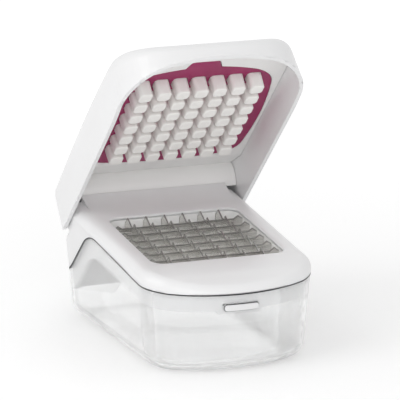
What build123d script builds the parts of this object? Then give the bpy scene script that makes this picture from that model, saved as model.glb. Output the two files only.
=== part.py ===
from build123d import *
from math import cos, hypot, radians, sin, tan
import os

# Vegetable chopper: clear container, slanted cutting frame with a blade grid, hinged pusher lid.
# Millimetres, +Z up, front towards -Y. The origin is the centre of the container's flat base.

# Blade grid
dice_pitch = 12.7
cell_count = 7
blade_thickness = 0.6
blade_play = 0.3
tooth_depth = 4.0
tooth_lean = 3.0
cross_edge_drop = 3.5
end_spike = 2.0
lap_drop = 8.0
lap_play = 0.2
blade_tongue = 2.2
tongue_drop = 4.2
window_margin = 0.75
window_corner = 8.0
window_lip = 1.0
window_lip_slope = 45.0

# Deck of the cutting frame, measured from the edges of the window
deck_side = 12.1
deck_front = 35.8
deck_rear = 56.8
deck_tilt = 6.0
deck_rise = 7.8
apron_margin = 1.8
apron_radius = 88.0
apron_sweep = 70.0
edge_radius = 7.5
frame_wall = 2.6

# Body outline at a reference height, shared by container and cutting frame
body_bow = 100.0
front_corner = 36.0
rear_corner = 24.0
reference_height = 52.5
body_draft = 4.5

# Container
container_wall = 2.0
container_floor = 2.6
base_radius = 12.0

# Seam between container and cutting frame, and the skirt that nests inside the container
seam_gap = 0.3
seam_mid_height = 63.8
seam_rise = 7.4
hump_inset = 60.0
seam_drop = 38.0
seam_rear_height = 32.0
hump_radius = 38.0
heel_radius = 12.0
nest_gap = 0.35
skirt_wall = 2.0
skirt_depth = 14.5
skirt_front_lift = 3.2
skirt_lap = 6.0

# Hinge, placed along the deck in front of the body's rear and above the deck plane
hinge_inset = 8.3
hinge_rise = 2.1
hinge_pin_radius = 2.0
hinge_pin_play = 0.08
hinge_pin_press = 0.03
hinge_pin_seat = 1.24
hinge_pin_length = 14.0
hinge_pin_chamfer = 0.4
knuckle_radius = 5.0
knuckle_length = 10.0
knuckle_gap = 0.4
lid_boss_length = 3.16

# Tower in front of the hinge, and the posts that carry the knuckles behind it
tower_inset = 6.6
tower_edge_gap = 14.8
tower_rise = 4.7
ramp_run = 21.9
post_front = 4.5
post_thickness = 4.0
scoop_gap = 1.0
cover_gap = 0.5

# Lid
lid_side_overhang = 5.4
lid_front_overhang = 7.3
lid_rear = 19.0
lid_rim_drop = 23.8
lid_top = 10.5
lid_wall = 2.6
lid_bow = 150.0
lid_front_corner = 38.0
lid_rear_corner = 14.0
lid_draft = 2.5
lid_edge_radius = 9.0
brow_length = 47.0
brow_radius = 82.0
brow_sweep = 60.0
lid_heel_radius = 16.0
lid_rear_wall_drop = 9.0
lid_rest_angle = 49.5
rib_thickness = 1.6
rib_spacing = 26.0
rib_count = 4
rib_length = 80.0
rib_gap = 0.3

# Liner, cleaning grid and pusher, stacked above the deck plane when the lid is closed
ceiling_rise = 1.0
liner_thickness = 2.2
liner_gap = 0.3
liner_lead = 5.0
liner_slope = 17.0
cover_foot_angle = 50.0
plate_gap = 0.2
pusher_thickness = 2.2
pusher_lip = 3.0
pin_size = 9.6
pin_corner = 2.6
pin_tip_radius = 1.0
pin_drop = 10.5
pin_taper = 1.6
grid_side = 5.05
grid_front_margin = 9.55
grid_rear_margin = 10.55
grid_front_bow = 110.0
grid_rear_bow = 4.0
grid_front_corner = 18.0
grid_rear_corner = 12.0
grid_tab_width = 18.5
grid_tab_flare = 4.0
grid_tab_reach = 6.5
grid_tab_corner = 2.5
grid_hole_play = 0.4
grid_edge_gap = 0.4

# Blade holder, retainer and screws under the deck
holder_gap = 0.2
holder_wall = 3.5
holder_height = 9.4
blade_seat_play = 0.1
collar_wall = 1.6
collar_height = 6.0
retainer_thickness = 2.0
retainer_margin = 13.3
retainer_corner = 6.0
screw_inset = 12.7
screw_margin = 6.8
screw_radius = 1.3
screw_play = 0.05
screw_head_radius = 2.8
screw_head_height = 1.8
screw_length = 9.0
screw_boss_radius = 3.4

# Front catch
catch_width = 23.0
catch_height = 4.0
catch_corner = 1.8
catch_drop = 8.5
catch_proud = 0.8
catch_gap = 0.4
catch_tongue_width = 30.0
catch_tongue_height = 10.0
catch_tongue_wall = 1.6

# Sizes that follow from the ones above
field_half = cell_count * dice_pitch / 2
window_half = field_half + window_margin
window_y = (deck_front - deck_rear) / 2
body_half_width = window_half + deck_side
body_half_length = window_half + (deck_front + deck_rear) / 2
apron_reach = window_half + apron_margin
hump_y = body_half_length - hump_inset
seam_front_height = seam_mid_height - body_half_length * tan(radians(seam_rise))
catch_z = seam_front_height - catch_drop
deck_height = seam_mid_height + deck_rise
blade_count = cell_count - 1
blade_places = [(i - (blade_count - 1) / 2) * dice_pitch for i in range(blade_count)]
blade_end = window_half + blade_tongue
blade_free = window_half - blade_play
holder_half = window_half + holder_wall
holder_top = -frame_wall - holder_gap
holder_bottom = holder_top - holder_height
blade_bottom = holder_bottom + blade_seat_play
lap_top = -lap_drop
retainer_top = holder_bottom - holder_gap
retainer_bottom = retainer_top - retainer_thickness
retainer_reach = holder_half + retainer_margin
screw_x = holder_half - screw_inset
screw_y = holder_half + screw_margin
tilt = radians(deck_tilt)
hinge_back = window_half + deck_rear - hinge_inset
tower_half_width = body_half_width - tower_inset
tower_edge_back = hinge_back - tower_edge_gap
ramp_start = tower_edge_back - ramp_run
liner_slope_start = ramp_start + liner_lead
hinge_y = window_y + hinge_back * cos(tilt) - hinge_rise * sin(tilt)
hinge_z = deck_height + hinge_back * sin(tilt) + hinge_rise * cos(tilt)
lid_half_width = body_half_width + lid_side_overhang
lid_inner_half = lid_half_width - lid_rim_drop * tan(radians(lid_draft)) - lid_wall
lid_reach = hinge_back + window_half + deck_front + lid_front_overhang
brow_start = lid_reach - brow_length
hinge_pin_end = lid_inner_half + hinge_pin_seat
lid_boss_start = lid_inner_half - lid_boss_length
knuckle_end = lid_boss_start - knuckle_gap
scoop_radius = hypot(lid_rear, lid_top) + scoop_gap
barrel_radius = hypot(tower_edge_gap, tower_rise - hinge_rise)
cover_radius = barrel_radius - cover_gap
ceiling = ceiling_rise - hinge_rise
liner_top = ceiling + liner_thickness
pusher_bottom = liner_top + plate_gap
pusher_top = pusher_bottom + pusher_thickness
grid_half_width = field_half + grid_side
grid_front = field_half + grid_front_margin
grid_rear = field_half + grid_rear_margin
skirt_outer = container_wall + nest_gap
skirt_inner = skirt_outer + skirt_wall
form_top = hinge_z + lid_rear
far = 4 * body_half_length

deck_frame = Location((0, window_y, deck_height), (deck_tilt, 0, 0))
lid_place = Location((0, hinge_y, hinge_z), (deck_tilt - lid_rest_angle, 0, 0))
behind_high = (Align.CENTER, Align.MIN, Align.MIN)
middle_low = (Align.CENTER, Align.CENTER, Align.MIN)
middle_high = (Align.CENTER, Align.CENTER, Align.MAX)


def plan_face(half_width, front, rear, bow, front_radius, rear_radius):
    """Plan outline with straight sides, a bowed front edge and rounded corners."""
    shoulder = bow - (bow ** 2 - half_width ** 2) ** 0.5 - front
    face = make_face([
        ThreePointArc((-half_width, shoulder), (0, -front), (half_width, shoulder)),
        Line((half_width, shoulder), (half_width, rear)),
        Line((half_width, rear), (-half_width, rear)),
        Line((-half_width, rear), (-half_width, shoulder)),
    ])
    face = fillet(face.vertices().group_by(Axis.Y)[0], front_radius)
    return fillet(face.vertices().group_by(Axis.Y)[-1], rear_radius)


def slab_across(outline, half_width):
    """Solid from a closed side-view outline, spread to both sides of the middle."""
    return extrude(Plane.YZ * make_face(outline), half_width, both=True)


def faces_up(face):
    """Whether a face looks up more than sideways."""
    normal = face.normal_at()
    return normal.Z > hypot(normal.X, normal.Y)


def round_top(solid, radius):
    """Round the edge where the upper faces of a solid meet its walls."""
    tops = [face for face in solid.faces() if faces_up(face)]
    edges = [edge for face in tops for edge in face.edges()]
    rim = [edge for edge in edges if sum(edge.is_same(other) for other in edges) == 1]
    return fillet(rim, radius)


def cylinder_across(radius, start, end):
    """Cylinder along X from one distance to another."""
    return Pos((start + end) / 2, 0, 0) * Rot(0, 90, 0) * Cylinder(radius, abs(end - start))


def plate(sketch, bottom, top):
    """Flat plate between two heights."""
    return Pos(0, 0, bottom) * extrude(sketch, top - bottom)


def drafted_block(outline, grow, bottom, top, draft):
    """Block with a plan outline at its bottom and walls that lean in by a draft angle."""
    face = plan_face(*[size + grow for size in outline])
    return Pos(0, 0, bottom) * extrude(face, top - bottom, taper=draft)


def body_block(inset, bottom=0):
    outline = (body_half_width, body_half_length, body_half_length, body_bow, front_corner, rear_corner)
    grow = (bottom - reference_height) * tan(radians(body_draft)) - inset
    return drafted_block(outline, grow, bottom, form_top, -body_draft)


def body_ring(outer, inner):
    return body_block(outer) - body_block(inner)


def seam_path(lift):
    """Side view of the seam: a gentle rise, a round hump and a steep drop to a level rear."""
    rise = tan(radians(seam_rise))
    hump_height = seam_mid_height + hump_y * rise
    heel_y = hump_y + (hump_height - seam_rear_height) / tan(radians(seam_drop))
    return [
        (-far, seam_mid_height - far * rise + lift),
        (hump_y, hump_height + lift),
        (heel_y, seam_rear_height + lift),
        (far, seam_rear_height + lift),
    ]


def skirt_path():
    """Lower edge of the skirt, which runs flatter than the seam towards the front."""
    points = seam_path(-skirt_depth)
    front_y, front_height = points[0]
    lift = skirt_front_lift * (hump_y - front_y) / (hump_y + body_half_length)
    points[0] = (front_y, front_height + lift)
    return points


def above(points):
    """Everything above a side-view path with a hump and a heel."""
    curve = FilletPolyline(*points, radius=[hump_radius, heel_radius])
    start, end = points[0], points[-1]
    roof = Polyline(end, (far, far), (-far, far), start)
    return slab_across([curve, roof], far)


def under_deck(inset):
    """Everything under the deck and under the round apron in front of it."""
    radius = apron_radius - inset
    apron = [
        (-apron_reach - radius * sin(turn), radius * cos(turn) - apron_radius)
        for turn in (0, radians(apron_sweep / 2), radians(apron_sweep))
    ]
    deck_end = (far, -inset)
    foot = (apron[2][0], -far)
    outline = [
        Line(deck_end, apron[0]),
        ThreePointArc(*apron),
        Polyline(apron[2], foot, (far, -far), deck_end),
    ]
    return deck_frame * slab_across(outline, far)


def tower(inset):
    """Ramp behind the window that rises to an edge in front of the hinge."""
    run = tower_edge_back - ramp_start
    radius = (run ** 2 + tower_rise ** 2) / (2 * tower_rise)
    ramp = [
        (ramp_start + share * run, radius - ((radius + inset) ** 2 - (share * run) ** 2) ** 0.5)
        for share in (0, 0.5, 1)
    ]
    back = (hinge_back, ramp[2][1])
    depth = -scoop_radius
    outline = [
        ThreePointArc(*ramp),
        Polyline(ramp[2], back, (hinge_back, depth), (ramp_start, depth), ramp[0]),
    ]
    return deck_frame * slab_across(outline, tower_half_width - inset)


def scoop(inset):
    """Room round the hinge for the liner's cover, and behind it for the rear wall of the lid."""
    front = -post_front - inset
    barrel = cylinder_across(barrel_radius + inset, -far, far)
    wide = cylinder_across(scoop_radius + inset, -far, far)
    over = Pos(0, front, 0) * Box(2 * far, far, far, align=behind_high)
    behind = Pos(0, front, -far) * Box(2 * far, far, 2 * far, align=behind_high)
    return deck_frame * Pos(0, hinge_back, hinge_rise) * (barrel + over + (wide & behind))


def frame_form(inset):
    """Outside of the cutting frame, or its hollow when drawn in by a wall."""
    body = round_top(body_block(inset) & under_deck(inset), edge_radius - inset)
    return body + tower(inset) - scoop(inset)


def screw_places():
    return [(x, y) for x in (-screw_x, screw_x) for y in (-screw_y, screw_y)]


def square_ring(outer, inner, bottom, top):
    outside = RectangleRounded(2 * outer, 2 * outer, window_corner + outer - window_half)
    inside = RectangleRounded(2 * inner, 2 * inner, window_corner + inner - window_half)
    return plate(outside - inside, bottom, top)


def front_bar(width, height, corner, outer, inner):
    """Rounded bar through the front wall, between two depths of the body outline."""
    bar = Plane.XZ * RectangleRounded(width, height, corner)
    reach = Pos(0, 0, catch_z) * extrude(bar, body_half_length + front_corner)
    return reach & body_ring(outer, inner)


def catch_bar(grow, outer, inner):
    width = catch_width + 2 * grow
    height = catch_height + 2 * grow
    return front_bar(width, height, catch_corner + grow, outer, inner)


def container():
    tub = fillet(body_block(0).edges().group_by(Axis.Z)[0], base_radius)
    hollow = body_block(container_wall, container_floor)
    hollow = fillet(hollow.edges().group_by(Axis.Z)[0], base_radius - container_wall)
    slot = catch_bar(catch_gap, -container_wall, 2 * container_wall)
    return tub - hollow - above(seam_path(0)) - slot


def window_cut():
    """Window through the deck, with a softened upper edge."""
    mouth_half = window_half + window_lip
    mouth = RectangleRounded(2 * mouth_half, 2 * mouth_half, window_corner + window_lip)
    flare = Rot(180, 0, 0) * extrude(mouth, window_lip, taper=window_lip_slope)
    opening = RectangleRounded(2 * window_half, 2 * window_half, window_corner)
    return flare + plate(opening, holder_top, window_lip)


def cutting_frame():
    outside = frame_form(0)
    shell = (outside - frame_form(frame_wall)) & above(seam_path(seam_gap))
    skirt = body_ring(skirt_outer, skirt_inner) & above(skirt_path()) & outside
    skirt -= above(seam_path(skirt_lap))
    notch_top = catch_z + catch_height / 2 + catch_gap
    notch = Box(catch_width + 2 * catch_gap, body_half_length, notch_top, align=middle_low)
    frame = shell + (skirt - Pos(0, -body_half_length, 0) * notch)
    collar_inner = holder_half + holder_gap
    fittings = square_ring(collar_inner + collar_wall, collar_inner,
                           -frame_wall - collar_height, -frame_wall / 2)
    for x, y in screw_places():
        boss = plate(Circle(screw_boss_radius), holder_bottom, -frame_wall / 2)
        fittings += Pos(x, y, 0) * boss
    cuts = window_cut()
    for x, y in screw_places():
        bore = plate(Circle(screw_radius + screw_play), holder_bottom - holder_gap,
                     retainer_bottom + screw_length + screw_radius)
        cuts += Pos(x, y, 0) * bore
    for side in (-1, 1):
        axle = Pos(0, hinge_back, hinge_rise)
        start = side * (knuckle_end - knuckle_length)
        fittings += axle * cylinder_across(knuckle_radius, start, side * knuckle_end)
        post_height = scoop_radius + frame_wall / 2
        post = Box(knuckle_length, post_thickness, post_height, align=middle_high)
        post_x = start + side * knuckle_length / 2
        fittings += axle * Pos(post_x, post_thickness / 2 - post_front, 0) * post
        bore = cylinder_across(
            hinge_pin_radius + hinge_pin_play,
            start - side * knuckle_gap,
            side * lid_boss_start,
        )
        cuts += axle * bore
    return frame + deck_frame * fittings - deck_frame * cuts


def blade_holder():
    ring = square_ring(holder_half, window_half, holder_bottom, holder_top)
    slot_top = blade_play / 2 - tongue_drop
    slot = Pos(0, 0, holder_bottom) * Box(
        blade_thickness + blade_play,
        2 * (blade_end + blade_play / 2),
        slot_top - holder_bottom,
        align=middle_low,
    )
    for place in blade_places:
        ring -= Pos(place, 0, 0) * slot
        ring -= Rot(0, 0, 90) * Pos(place, 0, 0) * slot
    return deck_frame * ring


def blade_retainer():
    outside = RectangleRounded(2 * holder_half, 2 * retainer_reach, retainer_corner)
    inside = RectangleRounded(2 * window_half, 2 * window_half, window_corner)
    ring = outside - inside
    for x, y in screw_places():
        ring -= Pos(x, y) * Circle(screw_radius + screw_play)
    return deck_frame * plate(ring, retainer_bottom, retainer_top)


def retainer_screws():
    head = plate(Circle(screw_head_radius), retainer_bottom - screw_head_height, retainer_bottom)
    head = fillet(head.edges().group_by(Axis.Z)[0], screw_head_height / 2)
    screw = head + plate(Circle(screw_radius), retainer_bottom, retainer_bottom + screw_length)
    return deck_frame * Compound([Pos(x, y, 0) * screw for x, y in screw_places()])


def blade(top_edge, lap_bottom, lap_height):
    """Flat blade in the YZ plane with a tongue at each end and half-lap slots."""
    outline = [
        (-blade_end, blade_bottom),
        (-blade_end, -tongue_drop),
        (-blade_free, -tongue_drop),
        *top_edge,
        (blade_free, -tongue_drop),
        (blade_end, -tongue_drop),
        (blade_end, blade_bottom),
    ]
    sketch = make_face(Polyline(*outline, close=True))
    middle = (lap_bottom + lap_height) / 2
    for place in blade_places:
        slot = Rectangle(blade_thickness + blade_play, lap_height - lap_bottom)
        sketch -= Pos(place, middle) * slot
    return extrude(Plane.YZ * sketch, blade_thickness / 2, both=True)


def long_blade():
    """Blade from front to rear: one leaning tooth in each cell."""
    first = -cell_count * dice_pitch / 2
    edge = [(-blade_free, -tooth_depth)]
    for cell in range(cell_count):
        peak = first + (cell + 1) * dice_pitch - tooth_lean
        edge.append((peak, 0))
        edge.append((min(peak + tooth_lean, blade_free), -tooth_depth))
    return blade(edge, blade_bottom - lap_play, lap_top)


def cross_blade():
    """Blade from side to side: a level edge with one spike near each end."""
    tip = blade_free - tooth_lean
    foot = tip - tooth_lean
    edge = [
        (-blade_free, -cross_edge_drop),
        (-tip, end_spike - cross_edge_drop),
        (-foot, -cross_edge_drop),
        (foot, -cross_edge_drop),
        (tip, end_spike - cross_edge_drop),
        (blade_free, -cross_edge_drop),
    ]
    return Rot(0, 0, 90) * blade(edge, lap_top - lap_play, 0)


def front_catch():
    """Snap tongue behind the skirt with a bar that reaches out through the container's slot."""
    seat = skirt_inner + catch_gap
    back = seat + catch_tongue_wall
    tongue = front_bar(catch_tongue_width, catch_tongue_height, catch_height / 2, seat, back)
    return catch_bar(0, -catch_proud, back) + tongue


def lid_form(inset, bottom):
    """Outside of the lid, or its hollow when drawn in by a wall."""
    outline = (lid_half_width, lid_reach, lid_rear, lid_bow, lid_front_corner, lid_rear_corner)
    grow = -(bottom + lid_rim_drop) * tan(radians(lid_draft)) - inset
    block = drafted_block(outline, grow, bottom, lid_top + lid_rear, lid_draft)
    radius = brow_radius - inset
    top = lid_top - inset
    brow = [
        (-brow_start - radius * sin(turn), radius * cos(turn) + lid_top - brow_radius)
        for turn in (0, radians(brow_sweep / 2), radians(brow_sweep))
    ]
    outline = [
        Line((far, top), brow[0]),
        ThreePointArc(*brow),
        Polyline(brow[2], (-far, -far), (far, -far), (far, top)),
    ]
    return round_top(block & slab_across(outline, far), lid_edge_radius - inset)


def lid_shell():
    shell = lid_form(0, -lid_rim_drop) - lid_form(lid_wall, -lid_rim_drop - lid_rear)
    inner_half = lid_half_width - lid_wall
    rear_gap = Box(2 * inner_half, lid_rear, lid_rim_drop, align=middle_high)
    shell -= Pos(0, lid_rear, -lid_rear_wall_drop) * rear_gap
    heel = (lid_rear - lid_heel_radius, lid_heel_radius - lid_rim_drop)
    corner = slab_across(Polyline(heel, (far, heel[1]), (far, -far), (heel[0], -far), close=True), far)
    corner -= Pos(0, *heel) * cylinder_across(lid_heel_radius, -far, far)
    shell -= corner
    rib_height = lid_top - lid_wall / 2 - pusher_top - rib_gap
    for i in range(rib_count):
        x = (i - (rib_count - 1) / 2) * rib_spacing
        rib = Box(rib_thickness, rib_length, rib_height, align=middle_low)
        shell += Pos(x, -hinge_back, pusher_top + rib_gap) * rib
    for side in (-1, 1):
        shell += cylinder_across(knuckle_radius, side * lid_boss_start, side * hinge_pin_end)
        hole = hinge_pin_radius + hinge_pin_press
        shell -= cylinder_across(hole, side * knuckle_end, side * hinge_pin_end)
    return lid_place * shell


def hinge_pin(side):
    end = side * (hinge_pin_end - hinge_pin_press)
    pin = cylinder_across(hinge_pin_radius, end - side * hinge_pin_length, end)
    pin = chamfer(pin.edges().filter_by(GeomType.CIRCLE), hinge_pin_chamfer)
    return lid_place * pin


def grid_face(grow):
    """Outline of the cleaning grid: bowed front and rear, round corners and a flared pull tab in front."""
    half = grid_half_width + grow
    front = grid_front + grow
    rear = grid_rear + grow
    shoulder = grid_front_bow - (grid_front_bow ** 2 - half ** 2) ** 0.5 - front
    face = make_face([
        ThreePointArc((-half, shoulder), (0, -front), (half, shoulder)),
        Line((half, shoulder), (half, rear)),
        ThreePointArc((half, rear), (0, rear + grid_rear_bow), (-half, rear)),
        Line((-half, rear), (-half, shoulder)),
    ])
    face = fillet(face.vertices().group_by(Axis.Y)[0], grid_front_corner + grow)
    face = fillet(face.vertices().group_by(Axis.Y)[-1], grid_rear_corner + grow)
    tip = grid_tab_width / 2 + grow
    root = tip + grid_tab_flare
    tab_root = grid_tab_reach - front
    tab = make_face(Polyline(
        (-root, tab_root),
        (-root, -front + grid_tab_flare),
        (-tip, -front - grid_tab_reach),
        (tip, -front - grid_tab_reach),
        (root, -front + grid_tab_flare),
        (root, tab_root),
        close=True,
    ))
    tab = fillet(tab.vertices().group_by(Axis.Y)[0], grid_tab_corner + grow)
    return face + tab


def cell_places():
    return GridLocations(dice_pitch, dice_pitch, cell_count, cell_count)


def cleaning_grid():
    hole_size = pin_size + 2 * grid_hole_play
    hole = RectangleRounded(hole_size, hole_size, pin_corner + grid_hole_play)
    sheet = grid_face(0) - cell_places() * hole
    return lid_place * Pos(0, -hinge_back, 0) * plate(sheet, ceiling, liner_top)


def pusher():
    width = 2 * (grid_half_width + pusher_lip)
    depth = grid_front + grid_rear + grid_rear_bow + 2 * pusher_lip
    middle = (grid_rear + grid_rear_bow - grid_front) / 2
    base = Pos(0, middle) * RectangleRounded(width, depth, grid_front_corner)
    back = plate(base, pusher_bottom, pusher_top)
    pin_length = pusher_bottom - ceiling + pin_drop
    pin = extrude(Rectangle(pin_size, pin_size), pin_length, taper=pin_taper)
    pin = fillet(pin.edges().group_by(Axis.Z)[1], pin_corner)
    pin = fillet(pin.edges().group_by(Axis.Z)[-1], pin_tip_radius)
    hanging = Pos(0, 0, pusher_bottom) * Rot(180, 0, 0) * pin
    return lid_place * Pos(0, -hinge_back, 0) * (back + cell_places() * hanging)


def lid_liner():
    """Ceiling of the lid around the cleaning grid, rising at the rear to clear the tower."""
    bend = liner_slope_start - hinge_back
    climb = -bend * tan(radians(liner_slope))
    outline = Polyline(
        (-far, ceiling),
        (bend, ceiling),
        (0, ceiling + climb),
        (0, liner_top + climb),
        (bend, liner_top),
        (-far, liner_top),
        close=True,
    )
    sheet = slab_across(outline, far) - cylinder_across(cover_radius, -far, far)
    inner_radius = cover_radius - liner_thickness
    ring = cylinder_across(cover_radius, -far, far) - cylinder_across(inner_radius, -far, far)
    foot = Rot(cover_foot_angle, 0, 0) * Pos(0, -far, 0) * Box(2 * far, 2 * far, far, align=middle_low)
    under = Polyline((bend, liner_top), (0, liner_top + climb), (0, -far), (bend, -far), close=True)
    cover = ring & foot & slab_across(under, far)
    room = lid_form(lid_wall + liner_gap, -lid_rim_drop)
    opening = plate(Pos(0, -hinge_back) * grid_face(grid_edge_gap), ceiling - plate_gap, pusher_bottom)
    return lid_place * (((sheet + cover) & room) - opening)


nodes = {
    "container": container(),
    "cutting_frame": cutting_frame(),
    "blade_holder": blade_holder(),
    "blade_retainer": blade_retainer(),
    "retainer_screws": retainer_screws(),
    "front_catch": front_catch(),
    "lid_shell": lid_shell(),
    "lid_liner": lid_liner(),
    "pusher": pusher(),
    "cleaning_grid": cleaning_grid(),
    "hinge_pin_left": hinge_pin(-1),
    "hinge_pin_right": hinge_pin(1),
}
for number, place in enumerate(blade_places, start=1):
    nodes[f"long_blade_{number}"] = deck_frame * Pos(place, 0, 0) * long_blade()
    nodes[f"cross_blade_{number}"] = deck_frame * Pos(0, place, 0) * cross_blade()

os.makedirs("parts", exist_ok=True)
for name, shape in nodes.items():
    export_step(shape, f"parts/{name}.step")
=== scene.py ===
import math
import bmesh
import bpy
from mathutils import Matrix, Vector


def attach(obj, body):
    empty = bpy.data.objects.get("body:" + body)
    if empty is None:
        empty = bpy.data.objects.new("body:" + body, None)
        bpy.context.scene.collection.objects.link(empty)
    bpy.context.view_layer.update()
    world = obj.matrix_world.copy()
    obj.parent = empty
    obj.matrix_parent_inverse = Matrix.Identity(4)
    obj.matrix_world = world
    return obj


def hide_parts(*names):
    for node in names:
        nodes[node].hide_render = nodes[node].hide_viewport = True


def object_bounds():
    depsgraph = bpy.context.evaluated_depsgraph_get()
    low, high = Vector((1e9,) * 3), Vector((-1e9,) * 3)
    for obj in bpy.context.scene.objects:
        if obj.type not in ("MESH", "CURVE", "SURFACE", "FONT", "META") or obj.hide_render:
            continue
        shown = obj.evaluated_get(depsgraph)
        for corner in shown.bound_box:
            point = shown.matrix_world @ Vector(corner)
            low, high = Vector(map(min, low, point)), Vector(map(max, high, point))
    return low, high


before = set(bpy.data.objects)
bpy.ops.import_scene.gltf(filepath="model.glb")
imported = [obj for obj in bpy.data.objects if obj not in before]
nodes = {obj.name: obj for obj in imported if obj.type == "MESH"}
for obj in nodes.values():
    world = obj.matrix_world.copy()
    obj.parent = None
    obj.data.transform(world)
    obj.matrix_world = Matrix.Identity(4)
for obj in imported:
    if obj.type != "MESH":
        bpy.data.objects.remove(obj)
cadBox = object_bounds()
print("frame loaded with", len(nodes), "nodes")

mm = 0.001
mergeGap = 0.001 * mm  # doubles nearer than this are merged in a copy of a node
deckTilt = math.radians(6)
lidTurn = math.radians(43.5)
deckMiddle = Vector((0, -10.5, 71.6)) * mm
lidHinge = Vector((0, 82.467, 83.483)) * mm
lidPlace = Matrix.Translation(lidHinge) @ Matrix.Rotation(-lidTurn, 4, "X")
deckUp = Vector((0, -math.sin(deckTilt), math.cos(deckTilt)))
deckBack = Vector((0, math.cos(deckTilt), math.sin(deckTilt)))
ceilingDown = Vector((0, -math.sin(lidTurn), -math.cos(lidTurn)))


# Material helpers

noiseRange = (0.3, 0.7)  # most values of a noise lie between these


def addNode(tree, kind, values=None, **settings):
    node = tree.nodes.new(kind)
    for key, value in settings.items():
        setattr(node, key, value)
    for key, value in (values or {}).items():
        node.inputs[key].default_value = value
    return node


def startMaterial(name, colour, values):
    material = bpy.data.materials.new(name)
    material.use_nodes = True
    material.diffuse_color = (*colour, 1)
    tree = material.node_tree
    tree.nodes.clear()
    shader = addNode(tree, "ShaderNodeBsdfPrincipled", {"Base Color": (*colour, 1), **values})
    output = addNode(tree, "ShaderNodeOutputMaterial")
    tree.links.new(shader.outputs["BSDF"], output.inputs["Surface"])
    return material, tree, shader


def objectSpace(tree, stretch=(1, 1, 1)):
    place = addNode(tree, "ShaderNodeTexCoord")
    mapping = addNode(tree, "ShaderNodeMapping", {"Scale": stretch})
    tree.links.new(place.outputs["Object"], mapping.inputs["Vector"])
    return mapping.outputs["Vector"]


def noise(tree, space, size, detail, rough=0.5):
    texture = addNode(tree, "ShaderNodeTexNoise", {"Scale": 1 / size, "Detail": detail, "Roughness": rough})
    tree.links.new(space, texture.inputs["Vector"])
    return texture.outputs["Fac"]


def spread(tree, value, low, high, between=noiseRange):
    remap = addNode(tree, "ShaderNodeMapRange", {
        "From Min": between[0], "From Max": between[1], "To Min": low, "To Max": high})
    tree.links.new(value, remap.inputs["Value"])
    return remap.outputs["Result"]


def tint(tree, value, dark, light):
    blend = addNode(tree, "ShaderNodeValToRGB")
    for stop, place, colour in zip(blend.color_ramp.elements, noiseRange, (dark, light)):
        stop.position = place
        stop.color = (*colour, 1)
    tree.links.new(value, blend.inputs["Fac"])
    return blend.outputs["Color"]


def bump(tree, height, depth, strength):
    node = addNode(tree, "ShaderNodeBump", {"Distance": depth, "Strength": strength})
    tree.links.new(height, node.inputs["Height"])
    return node.outputs["Normal"]


# Moulded plastics: cutting frame and lid shell are glossy, the inner pieces satin
glossyWhite = {
    "name": "glossyWhite", "light": (0.86, 0.86, 0.865), "dark": (0.84, 0.838, 0.842), "ior": 1.5,
    "coat": 0.25, "coatRough": 0.15, "rough": (0.31, 0.35),
    "flowSize": 30 * mm, "grainSize": 0.35 * mm, "grainDepth": 0.02 * mm, "grainStrength": 0.05,
    "scuffSize": 6 * mm, "scuffStretch": (1, 0.12, 1), "scuffRough": 0.65,
}
satinWhite = dict(glossyWhite, name="satinWhite", light=(0.9, 0.895, 0.885), dark=(0.88, 0.875, 0.865),
                  coat=0.0, rough=(0.38, 0.5))
pinWhite = dict(satinWhite, name="pinWhite", light=(0.93, 0.915, 0.89), dark=(0.905, 0.885, 0.86),
                rough=(0.33, 0.45), flowSize=8 * mm)
magenta = dict(satinWhite, name="magenta", light=(0.33, 0.012, 0.105), dark=(0.29, 0.01, 0.09),
               rough=(0.3, 0.36), flowSize=12 * mm)
# Painted shade: near-black plastic for the dark strips and crosses that stand in for shade in the seam,
# round the catch and in the screw recesses
paintedShadeDark = dict(satinWhite, name="paintedShadeDark", light=(0.025, 0.025, 0.028), dark=(0.018, 0.018, 0.02),
                rough=(0.5, 0.65), flowSize=5 * mm)


def plastic(look):
    material, tree, shader = startMaterial(look["name"], look["light"], {
        "IOR": look["ior"], "Coat Weight": look["coat"], "Coat Roughness": look["coatRough"]})
    space = objectSpace(tree)
    scuffSpace = objectSpace(tree, look["scuffStretch"])
    flow = noise(tree, space, look["flowSize"], detail=4)
    grain = noise(tree, space, look["grainSize"], detail=2)
    scuff = noise(tree, scuffSpace, look["scuffSize"], detail=5, rough=look["scuffRough"])
    tree.links.new(tint(tree, flow, look["dark"], look["light"]), shader.inputs["Base Color"])
    tree.links.new(spread(tree, scuff, *look["rough"]), shader.inputs["Roughness"])
    tree.links.new(bump(tree, grain, look["grainDepth"], look["grainStrength"]), shader.inputs["Normal"])
    return material


# Clear container: moulded copolyester with faint flow ripples
clearPlastic = {
    "name": "clearPlastic", "colour": (0.985, 0.992, 0.992), "ior": 1.45, "alpha": 0.5, "rough": (0.0, 0.03),
    "rippleSize": 18 * mm, "rippleStretch": (1, 1, 0.4), "rippleDepth": 0.1 * mm, "rippleStrength": 0.2,
}


def clear(look):
    material, tree, shader = startMaterial(look["name"], look["colour"], {
        "IOR": look["ior"], "Transmission Weight": 1.0, "Alpha": look["alpha"]})
    ripple = noise(tree, objectSpace(tree, look["rippleStretch"]), look["rippleSize"], detail=2)
    tree.links.new(spread(tree, ripple, *look["rough"]), shader.inputs["Roughness"])
    tree.links.new(bump(tree, ripple, look["rippleDepth"], look["rippleStrength"]), shader.inputs["Normal"])
    return material


# Stainless steel: brushed lines run along each blade, and up and down on the ground edges
bladeSteel = {
    "name": "bladeSteel", "light": (0.8, 0.79, 0.765), "dark": (0.68, 0.67, 0.65), "rough": (0.2, 0.34),
    "anisotropic": 0.4, "lineSize": 0.5 * mm, "lineStretch": 0.03, "lineRough": 0.7,
    "lineDepth": 0.01 * mm, "lineStrength": 0.3,
}
groundSteel = dict(bladeSteel, name="groundSteel", light=(0.5, 0.495, 0.485), dark=(0.4, 0.395, 0.385),
                   rough=(0.28, 0.4), lineSize=0.3 * mm)


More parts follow.
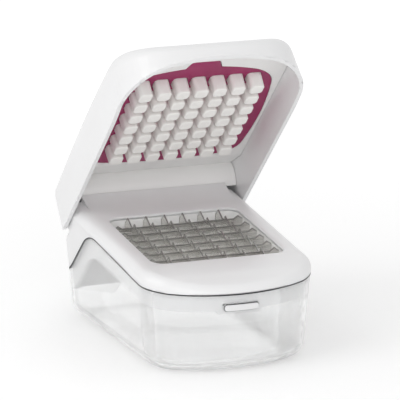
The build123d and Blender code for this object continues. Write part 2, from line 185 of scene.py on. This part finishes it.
def steel(look, axis):
    material, tree, shader = startMaterial(look["name"] + axis, look["light"], {
        "Metallic": 1.0, "Anisotropic": look["anisotropic"]})
    stretch = [look["lineStretch"] if letter == axis else 1 for letter in "XYZ"]
    lines = noise(tree, objectSpace(tree, stretch), look["lineSize"], detail=4, rough=look["lineRough"])
    tree.links.new(tint(tree, lines, look["dark"], look["light"]), shader.inputs["Base Color"])
    tree.links.new(spread(tree, lines, *look["rough"]), shader.inputs["Roughness"])
    tree.links.new(bump(tree, lines, look["lineDepth"], look["lineStrength"]), shader.inputs["Normal"])
    return material


finishes = {
    "container": clear(clearPlastic),
    "glossy": plastic(glossyWhite),
    "satin": plastic(satinWhite),
    "pin": plastic(pinWhite),
    "magenta": plastic(magenta),
    "paintedShade": plastic(paintedShadeDark),
    "longBlade": steel(bladeSteel, "Y"),
    "crossBlade": steel(bladeSteel, "X"),
    "groundEdge": steel(groundSteel, "Z"),
}
finishOfNode = {
    "container": "container",
    "cutting_frame": "glossy",
    "front_catch": "glossy",
    "blade_holder": "satin",
    "blade_retainer": "satin",
    "lid_shell": "glossy",
    "lid_liner": "satin",
    "pusher": "pin",
    "cleaning_grid": "magenta",
    "retainer_screws": "longBlade",
    "hinge_pin_left": "crossBlade",
    "hinge_pin_right": "crossBlade",
}
for name, node in nodes.items():
    if name.startswith("long_blade"):
        finish = "longBlade"
    elif name.startswith("cross_blade"):
        finish = "crossBlade"
    else:
        finish = finishOfNode[name]
    node.data.materials.clear()
    node.data.materials.append(finishes[finish])
print("finishes set on", len(nodes), "nodes")


# Outlines read from the frame, as paths for trim

def mergedCopy(node):
    shape = bmesh.new()
    shape.from_mesh(node.data)
    bmesh.ops.remove_doubles(shape, verts=shape.verts, dist=mergeGap)
    shape.normal_update()
    return shape


def edgeLoops(shape, isWall, isCap):
    links, wallWay, capWay = {}, {}, {}
    for edge in shape.edges:
        if len(edge.link_faces) != 2:
            continue
        first, second = edge.link_faces
        for wall, cap in ((first, second), (second, first)):
            if isWall(wall) and isCap(cap):
                for vert, other in (edge.verts, reversed(edge.verts)):
                    links.setdefault(vert, set()).add(other)
                    wallWay[vert] = wallWay.get(vert, Vector()) + wall.normal
                    capWay[vert] = capWay.get(vert, Vector()) + cap.normal
    loops, seen = [], set()
    for start in links:
        if start in seen:
            continue
        group, waiting = [], [start]
        seen.add(start)
        while waiting:
            vert = waiting.pop()
            group.append(vert)
            for other in links[vert] - seen:
                seen.add(other)
                waiting.append(other)
        loops.append(group)
    return loops, links, wallWay, capWay


def pathMesh(name, loop, links, wallWay, capWay, sideways, outwards):
    index = {vert: i for i, vert in enumerate(loop)}
    points = [
        vert.co + wallWay[vert].normalized() * sideways + capWay[vert].normalized() * outwards
        for vert in loop
    ]
    pairs = [(index[a], index[b]) for a in loop for b in links[a] if index[a] < index[b]]
    mesh = bpy.data.meshes.new(name)
    mesh.from_pydata(points, pairs, [])
    return mesh


def loopSpan(loop):
    low = [min(vert.co[k] for vert in loop) for k in range(3)]
    high = [max(vert.co[k] for vert in loop) for k in range(3)]
    return (Vector(high) - Vector(low)).length


# Pieces that take their form from the frame and get the photo's fuller lines

def clamp(value):
    return min(max(value, 0.0), 1.0)


def ramp(value, start, end):
    share = clamp((value - start) / (end - start))
    return share * share * (3 - 2 * share)


def evenNormals(piece, sharpAngle):
    piece.data.shade_smooth()
    piece.data.set_sharp_from_angle(angle=math.radians(sharpAngle))
    modifier = piece.modifiers.new("evenNormals", "WEIGHTED_NORMAL")
    modifier.keep_sharp = True
    modifier.weight = 100  # the largest faces set the normals
    graph = bpy.context.evaluated_depsgraph_get()
    finished = bpy.data.meshes.new_from_object(piece.evaluated_get(graph))
    piece.modifiers.remove(modifier)
    piece.data = finished


def reshapedPiece(name, nodeName, body, place, cuts, shift, finish, sharpAngle):
    shape = mergedCopy(nodes[nodeName])
    bmesh.ops.transform(shape, matrix=place.inverted(), verts=shape.verts)
    for axis, spots in cuts.items():
        across = Vector([1.0 if letter == axis else 0.0 for letter in "xyz"])
        for spot in spots:
            bmesh.ops.bisect_plane(shape, geom=[*shape.verts, *shape.edges, *shape.faces], dist=mergeGap,
                                   plane_co=across * spot * mm, plane_no=across)
    for vert in shape.verts:
        vert.co += shift(vert.co / mm) * mm
    bmesh.ops.transform(shape, matrix=place, verts=shape.verts)
    mesh = bpy.data.meshes.new(name)
    shape.to_mesh(mesh)
    shape.free()
    mesh.materials.append(finishes[finish])
    piece = bpy.data.objects.new(name, mesh)
    bpy.context.scene.collection.objects.link(piece)
    evenNormals(piece, sharpAngle)
    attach(piece, body)
    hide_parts(nodeName)
    print(name, "has", len(piece.data.polygons), "faces")
    return piece


# Lid: the front of the rim rises in a shallow arch and the top is domed
# Lengths are in mm in the lid's own frame at the hinge, angles in degrees
lidForm = {
    "archStart": 120, "archRadius": 209, "rimDrop": 23.8, "waist": 2.0, "topHeight": 8.5,
    "browStart": 135, "browRadius": 82, "domeMiddle": 80, "domeReach": 95, "domeHeight": 5.5,
    "front": 184, "roughStep": 10, "fineStep": 4, "sharpAngle": 35,
}


def dropOfArc(run, radius):
    return radius - math.sqrt(radius ** 2 - max(run, 0.0) ** 2)


def lidShift(form):
    def shift(spot):
        along, height = -spot.y, spot.z
        arch = dropOfArc(along - form["archStart"], form["archRadius"])
        waist = form["waist"] - dropOfArc(along - form["browStart"], form["browRadius"])
        low = clamp((waist - height) / (waist + form["rimDrop"]))
        high = clamp((height - waist) / form["topHeight"])
        dome = form["domeHeight"] * max(1 - ((along - form["domeMiddle"]) / form["domeReach"]) ** 2, 0.0)
        return Vector((0, 0, arch * low + dome * high))
    return shift


roughCuts = range(0, lidForm["archStart"], lidForm["roughStep"])
fineCuts = range(lidForm["archStart"], lidForm["front"], lidForm["fineStep"])
lidCuts = {"y": [-along for along in (*roughCuts, *fineCuts)], "z": [lidForm["waist"]]}
reshapedPiece("lidShell", "lid_shell", "lid", lidPlace, lidCuts, lidShift(lidForm), "glossy",
              lidForm["sharpAngle"])


# Cleaning grid and the opening round it: the sides bulge, in the same frame as the lid
gridForm = {
    "middle": 93.7, "field": 43.6, "edgeToWall": (50, 58.5),
    "widest": 10, "bulge": 7.0, "bulgeCurve": 0.00215, "bulgeFrom": (38, 49),
    "cutSpan": (-54, 64), "cutStep": 6, "plateSharpAngle": 35, "linerSharpAngle": 42,
}


def gridShift(form):
    def shift(spot):
        x, y = abs(spot.x), spot.y + form["middle"]
        if x < form["field"] and abs(y) < form["field"]:
            return Vector()
        edge, wall = form["edgeToWall"]
        bulge = max(form["bulge"] - form["bulgeCurve"] * (y - form["widest"]) ** 2, 0.0)
        push = bulge * ramp(x, *form["bulgeFrom"]) * (1 - clamp((x - edge) / (wall - edge)))
        return Vector((math.copysign(push, spot.x), 0, 0))
    return shift


gridCuts = {"y": [along - gridForm["middle"] for along in range(*gridForm["cutSpan"], gridForm["cutStep"])]}
reshapedPiece("cleaningPlate", "cleaning_grid", "lid", lidPlace, gridCuts, gridShift(gridForm), "magenta",
              gridForm["plateSharpAngle"])
lidLiner = reshapedPiece("lidLiner", "lid_liner", "lid", lidPlace, gridCuts, gridShift(gridForm), "satin",
                         gridForm["linerSharpAngle"])


# Body: the corners of container and cutting frame are tighter and the sides a little wider
bodyForm = {
    "halfWidth": 57.3, "front": 91.5, "rear": 91.5, "bow": 100,
    "frontCorner": (36, 25), "rearCorner": (24, 16), "wallDepth": (14, 8), "leastSlant": 0.01,
    "wider": 0.6, "widerFrom": (50, 55), "longer": 2.0, "longerFrom": (86, 89.5),
    "hingeFrom": (68, 77), "hingeHeight": (52, 60), "cutStep": 2, "sharpAngle": 30,
}


def rayToCircle(way, centre, radius):
    lean = way.dot(centre)
    return lean + math.sqrt(max(lean ** 2 - centre.length_squared + radius ** 2, 0.0))


def bodyShift(form):
    half, bow = form["halfWidth"], form["bow"]
    loose, tight = form["frontCorner"]
    bowCentre = Vector((0, bow - form["front"]))

    def frontCentre(radius):
        return Vector((half - radius, bowCentre.y - math.sqrt((bow - radius) ** 2 - (half - radius) ** 2)))

    frontLoose, frontTight = frontCentre(loose), frontCentre(tight)
    bowLoose = (frontLoose - bowCentre).normalized()
    bowTight = (frontTight - bowCentre).normalized()
    looseRear, tightRear = form["rearCorner"]
    rearLoose = Vector((half - looseRear, form["rear"] - looseRear))
    rearTight = Vector((half - tightRear, form["rear"] - tightRear))
    depth, fade = form["wallDepth"]

    def frontReach(way):
        side = loose / max(way.x, form["leastSlant"])
        reach = min(side, rayToCircle(way, bowCentre - frontLoose, bow))
        away = frontLoose + way * reach - frontTight
        inCorner = away.y < 0 and away.x * bowTight.y - away.y * bowTight.x < 0
        return rayToCircle(way, frontTight - frontLoose, tight) if inCorner else reach

    def rearReach(way):
        reach = looseRear / max(way.x, way.y)
        away = rearLoose + way * reach - rearTight
        inCorner = away.x > 0 and away.y > 0
        return rayToCircle(way, rearTight - rearLoose, tightRear) if inCorner else reach

    def grown(spot, centre, old, reach):
        away = spot - centre
        if away.length < old - depth:
            return Vector((0, 0))
        way = away.normalized()
        return way * max(reach(way) - old, 0.0) * clamp((away.length - old + depth) / fade)

    def shift(spot):
        x, y, z = abs(spot.x), spot.y, spot.z
        atHinge = ramp(y, *form["hingeFrom"]) * ramp(z, *form["hingeHeight"])
        flat, move = Vector((x, y)), Vector((0, 0))
        if x > rearLoose.x and y > rearLoose.y:
            move = grown(flat, rearLoose, looseRear, rearReach)
        elif x > frontLoose.x and y < frontLoose.y:
            away = (flat - frontLoose).normalized()
            if away.x * bowLoose.y - away.y * bowLoose.x < 0:
                move = grown(flat, frontLoose, loose, frontReach)
        move.x += form["wider"] * ramp(x, *form["widerFrom"])
        move.y += form["longer"] * ramp(y, *form["longerFrom"])
        return Vector((math.copysign(move.x, spot.x), move.y, 0)) * (1 - atHinge)
    return shift


sideCut = bodyForm["widerFrom"][0]
lowCut, highCut = bodyForm["hingeHeight"]
bodyCuts = {"x": [-sideCut, sideCut], "z": range(lowCut, highCut + 1, bodyForm["cutStep"])}
containerTub = reshapedPiece("containerTub", "container", "base", Matrix(), bodyCuts, bodyShift(bodyForm),
                             "container", bodyForm["sharpAngle"])
reshapedPiece("cuttingFrame", "cutting_frame", "frame", Matrix(), bodyCuts, bodyShift(bodyForm),
              "glossy", bodyForm["sharpAngle"])


# Geometry Nodes helpers

grownMergeGap = 0.0005 * mm


def newTree(name, inputs):
    tree = bpy.data.node_groups.new(name, "GeometryNodeTree")
    tree.interface.new_socket("Geometry", in_out="INPUT", socket_type="NodeSocketGeometry")
    for label, kind in inputs.items():
        tree.interface.new_socket(label, in_out="INPUT", socket_type=kind)
    tree.interface.new_socket("Geometry", in_out="OUTPUT", socket_type="NodeSocketGeometry")
    return tree, addNode(tree, "NodeGroupInput"), addNode(tree, "NodeGroupOutput")


def endTree(tree, source, result, geometry):
    realize = addNode(tree, "GeometryNodeRealizeInstances")
    paint = addNode(tree, "GeometryNodeSetMaterial")
    tree.links.new(geometry, realize.inputs["Geometry"])
    tree.links.new(realize.outputs["Geometry"], paint.inputs["Geometry"])
    tree.links.new(source.outputs["Material"], paint.inputs["Material"])
    tree.links.new(paint.outputs["Geometry"], result.inputs["Geometry"])


def evenPath(tree, source):
    path = addNode(tree, "GeometryNodeMeshToCurve")
    even = addNode(tree, "GeometryNodeResampleCurve", mode="LENGTH")
    tree.links.new(source.outputs["Geometry"], path.inputs["Mesh"])
    tree.links.new(path.outputs["Curve"], even.inputs["Curve"])
    tree.links.new(source.outputs["Spacing"], even.inputs["Length"])
    return even.outputs["Curve"]


def sweepAlong(tree, curve, profile):
    sweep = addNode(tree, "GeometryNodeCurveToMesh")
    tree.links.new(curve, sweep.inputs["Curve"])
    tree.links.new(profile.outputs["Curve"], sweep.inputs["Profile Curve"])
    return sweep.outputs["Mesh"]


def trimTree():
    tree, source, result = newTree("trimAlongPath", {
        "Spacing": "NodeSocketFloat", "Width": "NodeSocketFloat", "Height": "NodeSocketFloat",
        "Material": "NodeSocketMaterial"})
    upright = addNode(tree, "GeometryNodeSetCurveNormal", mode="Z_UP")
    profile = addNode(tree, "GeometryNodeCurvePrimitiveQuadrilateral", mode="RECTANGLE")
    tree.links.new(evenPath(tree, source), upright.inputs["Curve"])
    tree.links.new(source.outputs["Width"], profile.inputs["Width"])
    tree.links.new(source.outputs["Height"], profile.inputs["Height"])
    endTree(tree, source, result, sweepAlong(tree, upright.outputs["Curve"], profile))
    return tree


def beadTree():
    tree, source, result = newTree("beadAlongPath", {
        "Spacing": "NodeSocketFloat", "Radius": "NodeSocketFloat", "Sides": "NodeSocketInt",
        "Material": "NodeSocketMaterial"})
    profile = addNode(tree, "GeometryNodeCurvePrimitiveCircle")
    tree.links.new(source.outputs["Radius"], profile.inputs["Radius"])
    tree.links.new(source.outputs["Sides"], profile.inputs["Resolution"])
    endTree(tree, source, result, sweepAlong(tree, evenPath(tree, source), profile))
    return tree


def rowTree():
    tree, source, result = newTree("rowOfCopies", {
        "Count": "NodeSocketInt", "Step": "NodeSocketVector", "Material": "NodeSocketMaterial"})
    line = addNode(tree, "GeometryNodeMeshLine", mode="OFFSET")
    place = addNode(tree, "GeometryNodeInstanceOnPoints")
    tree.links.new(source.outputs["Count"], line.inputs["Count"])
    tree.links.new(source.outputs["Step"], line.inputs["Offset"])
    tree.links.new(line.outputs["Mesh"], place.inputs["Points"])
    tree.links.new(source.outputs["Geometry"], place.inputs["Instance"])
    endTree(tree, source, result, place.outputs["Instances"])
    return tree


def crossTree():
    tree, source, result = newTree("crossOnPoints", {
        "Length": "NodeSocketFloat", "Width": "NodeSocketFloat", "Depth": "NodeSocketFloat",
        "Tilt": "NodeSocketVector", "Material": "NodeSocketMaterial"})
    join = addNode(tree, "GeometryNodeJoinGeometry")
    for across, along in (("Length", "Width"), ("Width", "Length")):
        size = addNode(tree, "ShaderNodeCombineXYZ")
        bar = addNode(tree, "GeometryNodeMeshCube")
        tree.links.new(source.outputs[across], size.inputs["X"])
        tree.links.new(source.outputs[along], size.inputs["Y"])
        tree.links.new(source.outputs["Depth"], size.inputs["Z"])
        tree.links.new(size.outputs["Vector"], bar.inputs["Size"])
        tree.links.new(bar.outputs["Mesh"], join.inputs["Geometry"])
    place = addNode(tree, "GeometryNodeInstanceOnPoints")
    tree.links.new(source.outputs["Geometry"], place.inputs["Points"])
    tree.links.new(join.outputs["Geometry"], place.inputs["Instance"])
    tree.links.new(source.outputs["Tilt"], place.inputs["Rotation"])
    endTree(tree, source, result, place.outputs["Instances"])
    return tree


def growPiece(name, tree, mesh, values, body):
    holder = bpy.data.objects.new(name + "Path", mesh)
    bpy.context.scene.collection.objects.link(holder)
    modifier = holder.modifiers.new(name, "NODES")
    modifier.node_group = tree
    for item in tree.interface.items_tree:
        if item.item_type == "SOCKET" and item.in_out == "INPUT" and item.name in values:
            modifier[item.identifier] = values[item.name]
    graph = bpy.context.evaluated_depsgraph_get()
    finished = bpy.data.meshes.new_from_object(holder.evaluated_get(graph))
    finished.name = name
    holder.modifiers.remove(modifier)
    bpy.data.objects.remove(holder)
    shape = bmesh.new()
    shape.from_mesh(finished)
    bmesh.ops.remove_doubles(shape, verts=shape.verts, dist=grownMergeGap)
    bmesh.ops.recalc_face_normals(shape, faces=shape.faces)
    shape.to_mesh(finished)
    shape.free()
    piece = bpy.data.objects.new(name, finished)
    bpy.context.scene.collection.objects.link(piece)
    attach(piece, body)
    print(name, "has", len(finished.polygons), "faces")


trim, bead, row, cross = trimTree(), beadTree(), rowTree(), crossTree()


# Painted shadow: a dark strip in the seam, on the container's rim, stands for the seam's shadow line
seamLine = {
    "spacing": 1.0 * mm, "width": 1.2 * mm, "height": 0.8 * mm, "inset": 0.55 * mm, "drop": 0.02 * mm,
    "wallFacing": 0.3, "rimFacing": 0.6,
}


def makeSeamLine(look):
    shape = mergedCopy(containerTub)

    def outerWall(face):
        middle = face.calc_center_median()
        outwards = face.normal.x * middle.x + face.normal.y * middle.y
        return face.normal.z < look["wallFacing"] and outwards > 0

    loops, *ways = edgeLoops(shape, outerWall, lambda face: face.normal.z > look["rimFacing"])
    rim = max(loops, key=loopSpan)
    mesh = pathMesh("seamLine", rim, *ways, -look["inset"], -look["drop"])
    shape.free()
    growPiece("seamLine", trim, mesh, {
        "Spacing": look["spacing"], "Width": look["width"], "Height": look["height"],
        "Material": finishes["paintedShade"]}, "base")


makeSeamLine(seamLine)


# Painted shade: a dark bead in the gap round the bar of the front catch
catchLine = {
    "spacing": 0.4 * mm, "radius": 0.3 * mm, "sides": 8, "gapMiddle": 0.18 * mm, "inset": 0.75 * mm,
    "sideFacing": 0.5, "frontFacing": 0.8,
}


def makeCatchLine(look):
    shape = mergedCopy(nodes["front_catch"])
    loops, *ways = edgeLoops(shape, lambda face: abs(face.normal.y) < look["sideFacing"],
                             lambda face: -face.normal.y > look["frontFacing"])
    front = min(loops, key=lambda loop: min(vert.co.y for vert in loop))
    mesh = pathMesh("catchLine", front, *ways, look["gapMiddle"], -look["inset"])
    shape.free()
    growPiece("catchLine", bead, mesh, {
        "Spacing": look["spacing"], "Radius": look["radius"], "Sides": look["sides"],
        "Material": finishes["paintedShade"]}, "base")


makeCatchLine(catchLine)


# Raised bead of the liner round the cleaning grid
gridBead = {
    "spacing": 1.0 * mm, "radius": 0.6 * mm, "sides": 10, "inset": 0.55 * mm, "sink": 0.2 * mm,
    "wallFacing": 0.2, "ceilingFacing": 0.99, "leastSpan": 60 * mm,
}


def makeGridBead(look):
    shape = mergedCopy(lidLiner)
    loops, *ways = edgeLoops(shape, lambda face: abs(face.normal.dot(ceilingDown)) < look["wallFacing"],
                             lambda face: face.normal.dot(ceilingDown) > look["ceilingFacing"])
    opening = min((loop for loop in loops if loopSpan(loop) > look["leastSpan"]), key=loopSpan)
    mesh = pathMesh("gridBead", opening, *ways, -look["inset"], -look["sink"])
    shape.free()
    growPiece("gridBead", bead, mesh, {
        "Spacing": look["spacing"], "Radius": look["radius"], "Sides": look["sides"],
        "Material": finishes["glossy"]}, "lid")


makeGridBead(gridBead)


# Ground edges of the blades: a thin band down both sides of each cutting edge
groundEdge = {
    "depth": 0.9 * mm, "proud": 0.012 * mm, "inward": 0.3 * mm, "pitch": 12.7 * mm, "count": 6,
    "tongueDrop": 4.1 * mm, "sideFacing": 0.9, "edgeFacing": 0.3,
}


def makeGroundEdge(name, nodeName, across, look):
    shape = mergedCopy(nodes[nodeName])
    low = deckMiddle.dot(deckUp) - look["tongueDrop"]
    foot = deckUp * look["depth"]
    points, quads = [], []
    for edge in shape.edges:
        faces = edge.link_faces
        if len(faces) != 2 or min(vert.co.dot(deckUp) for vert in edge.verts) < low:
            continue
        for side, cap in ((faces[0], faces[1]), (faces[1], faces[0])):
            onSide = abs(side.normal.dot(across)) >= look["sideFacing"]
            onEdge = cap.normal.dot(deckUp) >= look["edgeFacing"]
            if not (onSide and onEdge):
                continue
            out = side.normal * look["proud"]
            inward = side.normal * look["inward"]
            a, b = (vert.co + cap.normal * look["proud"] for vert in edge.verts)
            start = len(points)
            points += [a + out, b + out, b + out - foot, a + out - foot, a - inward, b - inward]
            quads += [(start, start + 1, start + 2, start + 3), (start + 1, start, start + 4, start + 5)]
    shape.free()
    mesh = bpy.data.meshes.new(name)
    mesh.from_pydata(points, [], quads)
    growPiece(name, row, mesh, {
        "Count": look["count"], "Step": across * look["pitch"],
        "Material": finishes["groundEdge"]}, "frame")


makeGroundEdge("longBladeEdges", "long_blade_1", Vector((1, 0, 0)), groundEdge)
makeGroundEdge("crossBladeEdges", "cross_blade_1", deckBack, groundEdge)


# Painted shade: dark crosses stand for the shaded recesses in the heads of the retainer screws, which face
# down
screwCross = {
    "length": 3.0 * mm, "width": 0.7 * mm, "depth": 0.5 * mm, "proud": 0.02 * mm, "headFacing": 0.999,
}


def makeScrewCross(look):
    shape = mergedCopy(nodes["retainer_screws"])
    heads = {}
    for face in shape.faces:
        if -face.normal.dot(deckUp) > look["headFacing"]:
            middle = face.calc_center_median()
            corner = (middle.x > 0, middle.y > deckMiddle.y)
            heads.setdefault(corner, []).append((face.calc_area(), middle))
    points = []
    for group in heads.values():
        total = sum(area for area, middle in group)
        centre = sum((middle * area for area, middle in group), Vector()) / total
        points.append(centre + deckUp * (look["depth"] / 2 - look["proud"]))
    shape.free()
    mesh = bpy.data.meshes.new("screwCross")
    mesh.from_pydata(points, [], [])
    growPiece("screwCross", cross, mesh, {
        "Length": look["length"], "Width": look["width"], "Depth": look["depth"],
        "Tilt": (deckTilt, 0, 0), "Material": finishes["paintedShade"]}, "frame")


makeScrewCross(screwCross)
print("trim pieces made")


# Stage: pale floor and white surroundings

stage = {
    "size": 8.0, "colour": (0.92, 0.92, 0.92), "rough": 0.9,
    "floorGlow": (0.22, 0.4), "glowFrom": (0.2, 0.9),  # strengths at these distances in metres
    "softLight": 0.7, "seenWhite": 1.0,
}


def seenRays(tree):
    path = addNode(tree, "ShaderNodeLightPath")
    either = addNode(tree, "ShaderNodeMath", operation="MAXIMUM")
    seen = addNode(tree, "ShaderNodeMath", operation="MAXIMUM")
    tree.links.new(path.outputs["Is Camera Ray"], either.inputs[0])
    tree.links.new(path.outputs["Is Glossy Ray"], either.inputs[1])
    tree.links.new(either.outputs[0], seen.inputs[0])
    tree.links.new(path.outputs["Is Transmission Ray"], seen.inputs[1])
    return seen.outputs[0]


def makeFloor(settings):
    half = settings["size"] / 2
    mesh = bpy.data.meshes.new("floor")
    corners = [(-half, -half, 0), (half, -half, 0), (half, half, 0), (-half, half, 0)]
    mesh.from_pydata(corners, [], [(0, 1, 2, 3)])
    floor = bpy.data.objects.new("floor", mesh)
    bpy.context.scene.collection.objects.link(floor)
    material, tree, shader = startMaterial("floorPaper", settings["colour"], {
        "Roughness": settings["rough"], "Specular IOR Level": 0.0})
    place = addNode(tree, "ShaderNodeTexCoord")
    away = addNode(tree, "ShaderNodeVectorMath", operation="LENGTH")
    glow = addNode(tree, "ShaderNodeEmission")
    tree.links.new(place.outputs["Object"], away.inputs[0])
    strength = spread(tree, away.outputs["Value"], *settings["floorGlow"], between=settings["glowFrom"])
    tree.links.new(strength, glow.inputs["Strength"])
    none = addNode(tree, "ShaderNodeEmission", {"Strength": 0.0})
    mix = addNode(tree, "ShaderNodeMixShader")
    both = addNode(tree, "ShaderNodeAddShader")
    tree.links.new(seenRays(tree), mix.inputs["Fac"])
    tree.links.new(none.outputs[0], mix.inputs[1])
    tree.links.new(glow.outputs[0], mix.inputs[2])
    tree.links.new(shader.outputs["BSDF"], both.inputs[0])
    tree.links.new(mix.outputs[0], both.inputs[1])
    output = next(node for node in tree.nodes if node.type == "OUTPUT_MATERIAL")
    tree.links.new(both.outputs[0], output.inputs["Surface"])
    mesh.materials.append(material)


def makeWorld(settings):
    world = bpy.data.worlds.new("studio")
    bpy.context.scene.world = world
    world.use_nodes = True
    tree = world.node_tree
    tree.nodes.clear()
    white = (1, 1, 1, 1)
    soft = addNode(tree, "ShaderNodeBackground", {"Color": white, "Strength": settings["softLight"]})
    seen = addNode(tree, "ShaderNodeBackground", {"Color": white, "Strength": settings["seenWhite"]})
    mix = addNode(tree, "ShaderNodeMixShader")
    output = addNode(tree, "ShaderNodeOutputWorld")
    tree.links.new(seenRays(tree), mix.inputs["Fac"])
    tree.links.new(soft.outputs[0], mix.inputs[1])
    tree.links.new(seen.outputs[0], mix.inputs[2])
    tree.links.new(mix.outputs[0], output.inputs["Surface"])


makeFloor(stage)
makeWorld(stage)


# Lamps: a broad one at the upper left and a weaker one low at the front

lamps = {
    "leftLamp": {"place": (-1.1, -0.35, 0.9), "size": 1.0, "power": 4.8},
    "frontLamp": {"place": (-0.35, -1.3, 0.3), "size": 0.9, "power": 3.6},
}
aim = (cadBox[0] + cadBox[1]) / 2
for name, settings in lamps.items():
    light = bpy.data.lights.new(name, "AREA")
    light.size = settings["size"]
    light.energy = settings["power"]
    lamp = bpy.data.objects.new(name, light)
    lamp.location = settings["place"]
    lamp.rotation_euler = (aim - lamp.location).to_track_quat("-Z", "Y").to_euler()
    bpy.context.scene.collection.objects.link(lamp)


# Camera at the photo's angle

cameraView = {
    "azimuth": -21.2, "elevation": 13.6, "distance": 2.4, "target": (2.9, -10.5, 94.2),
    "lens": 335, "sensorWidth": 36,
}


def makeCamera(settings):
    azimuth = math.radians(settings["azimuth"])
    elevation = math.radians(settings["elevation"])
    back = Vector((math.sin(azimuth) * math.cos(elevation), -math.cos(azimuth) * math.cos(elevation),
                   math.sin(elevation)))
    data = bpy.data.cameras.new("photoCamera")
    data.lens = settings["lens"]
    data.sensor_width = settings["sensorWidth"]
    camera = bpy.data.objects.new("photoCamera", data)
    camera.location = Vector(settings["target"]) * mm + back * settings["distance"]
    camera.rotation_euler = (-back).to_track_quat("-Z", "Y").to_euler()
    bpy.context.scene.collection.objects.link(camera)
    bpy.context.scene.camera = camera


makeCamera(cameraView)
bpy.context.scene.view_settings.view_transform = "Standard"
print("stage, lamps and camera ready")
